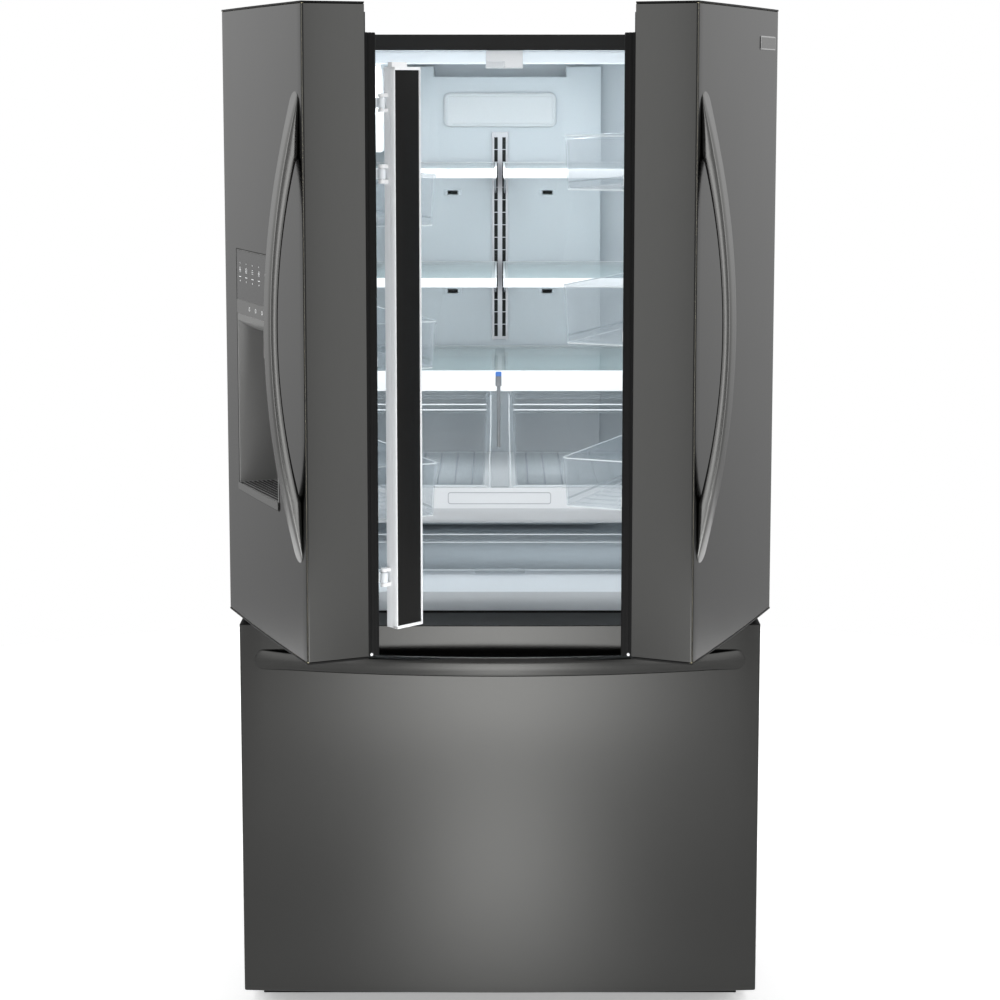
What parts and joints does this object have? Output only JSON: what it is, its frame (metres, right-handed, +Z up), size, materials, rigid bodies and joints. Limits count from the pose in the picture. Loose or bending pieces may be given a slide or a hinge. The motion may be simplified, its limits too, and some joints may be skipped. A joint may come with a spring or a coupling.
{
  "type": "refrigerator",
  "caption": "French door refrigerator with a bottom freezer drawer, both doors standing open, door bins, glass shelves, crispers, a folding mullion and a door dispenser.",
  "frame": {"origin": "bottom centre of the bounding box with both doors open at the rest angle", "axes": "+Z up, the front faces -Y, +X to the viewer's right"},
  "size_m": [0.9508, 1.2239, 1.778],
  "materials": {
    "black_steel": "satin",
    "case_steel": "textured",
    "flange": "satin",
    "handle_steel": "satin",
    "liner": "satin",
    "foam": "matte",
    "gasket": "matte",
    "black_plastic": "matte",
    "white_plastic": "satin",
    "clear_plastic": "gloss",
    "pane": "gloss",
    "light_cover": "frosted",
    "zinc_steel": "satin",
    "chassis_steel": "matte",
    "compressor_steel": "satin",
    "coil": "satin",
    "panel_glass": "gloss",
    "dispenser_plastic": "satin",
    "grey_plastic": "satin",
    "foot_rubber": "matte"
  },
  "bodies": {
    "cabinet": {"cabinet_wrapper": "case_steel", "foam_insulation": "foam", "fresh_food_liner": "liner", "freezer_liner": "liner", "front_frame": "flange", "door_hinges": "chassis_steel", "mullion_guide": "white_plastic", "ceiling_light": "light_cover", "air_duct_panel": "liner", "air_filter_cover": "white_plastic", "shelf_tracks": "zinc_steel", "shelf_frames": "white_plastic", "shelf_glass": "pane", "crisper_cover_frame": "white_plastic", "crisper_tray": "white_plastic", "toe_grille": "black_plastic", "levelling_legs": "foot_rubber", "chassis_tray": "chassis_steel", "compressor": "compressor_steel", "condenser_coil": "coil", "evaporator_coil": "coil", "evaporator_cover": "liner", "rear_cover": "chassis_steel", "water_valve": "grey_plastic", "ice_maker": "white_plastic", "fixed_slides": "zinc_steel"},
    "rollers": {"rear_rollers": "foot_rubber"},
    "cooling_fan": {"condenser_fan": "grey_plastic"},
    "freezer_fan": {"evaporator_fan": "grey_plastic"},
    "left_door": {"left_door_skin": "black_steel", "left_door_foam": "foam", "left_door_caps": "black_plastic", "left_door_liner": "liner", "left_door_gasket": "gasket", "left_door_handle": "handle_steel", "left_door_bins": "clear_plastic", "dispenser_housing": "dispenser_plastic", "dispenser_panel": "panel_glass", "drip_tray": "grey_plastic"},
    "mullion": {"mullion_bar": "white_plastic", "mullion_plate": "black_plastic"},
    "paddle": {"dispenser_paddle": "black_plastic"},
    "right_door": {"right_door_skin": "black_steel", "right_door_foam": "foam", "right_door_caps": "black_plastic", "right_door_liner": "liner", "right_door_gasket": "gasket", "right_door_handle": "handle_steel", "right_door_bins": "clear_plastic"},
    "left_crisper": {"crisper_left": "clear_plastic"},
    "right_crisper": {"crisper_right": "clear_plastic"},
    "deli": {"deli_drawer": "clear_plastic"},
    "freezer_drawer": {"freezer_drawer_skin": "black_steel", "freezer_drawer_foam": "foam", "freezer_drawer_liner": "liner", "freezer_drawer_gasket": "gasket", "freezer_drawer_handle": "handle_steel", "moving_slides": "zinc_steel", "freezer_basket": "clear_plastic"},
    "top_basket": {"upper_basket": "clear_plastic"}
  },
  "joints": [
    {"name": "left_door_hinge", "type": "hinge", "parent": "cabinet", "child": "left_door", "pos_m": [-0.4257, -0.1985, 1.25], "axis": [0, 0, -1], "range_deg": [-66.3, 53.7]},
    {"name": "right_door_hinge", "type": "hinge", "parent": "cabinet", "child": "right_door", "pos_m": [0.4257, -0.1985, 1.25], "axis": [0, 0, 1], "range_deg": [-66.3, 53.7]},
    {"name": "mullion_hinge", "type": "hinge", "parent": "left_door", "child": "mullion", "pos_m": [-0.18777, -0.51637, 1.227], "axis": [0, 0, 1], "range_deg": [-111, 0]},
    {"name": "paddle_hinge", "type": "hinge", "parent": "left_door", "child": "paddle", "pos_m": [-0.37102, -0.35764, 1.205], "axis": [0.4019, -0.9157, 0], "range_deg": [0, 12], "stiffness_Nm_per_rad": 0.3, "springref_deg": -20.05},
    {"name": "freezer_drawer_slide", "type": "slide", "parent": "cabinet", "child": "freezer_drawer", "axis": [0, -1, 0], "range_m": [0, 0.45]},
    {"name": "upper_basket_slide", "type": "slide", "parent": "freezer_drawer", "child": "top_basket", "axis": [0, 1, 0], "range_m": [0, 0.11]},
    {"name": "left_crisper_slide", "type": "slide", "parent": "cabinet", "child": "left_crisper", "axis": [0, -1, 0], "range_m": [0, 0.15]},
    {"name": "right_crisper_slide", "type": "slide", "parent": "cabinet", "child": "right_crisper", "axis": [0, -1, 0], "range_m": [0, 0.15]},
    {"name": "deli_drawer_slide", "type": "slide", "parent": "cabinet", "child": "deli", "axis": [0, -1, 0], "range_m": [0, 0.15]},
    {"name": "condenser_fan_spin", "type": "hinge", "parent": "cabinet", "child": "cooling_fan", "pos_m": [-0.005, 0.5116, 0.13], "axis": [1, 0, 0], "continuous": true},
    {"name": "evaporator_fan_spin", "type": "hinge", "parent": "cabinet", "child": "freezer_fan", "pos_m": [0, 0.4836, 0.636], "axis": [0, 1, 0], "continuous": true},
    {"name": "roller_spin", "type": "hinge", "parent": "cabinet", "child": "rollers", "pos_m": [0, 0.5616, 0.02], "axis": [1, 0, 0], "continuous": true}
  ]
}
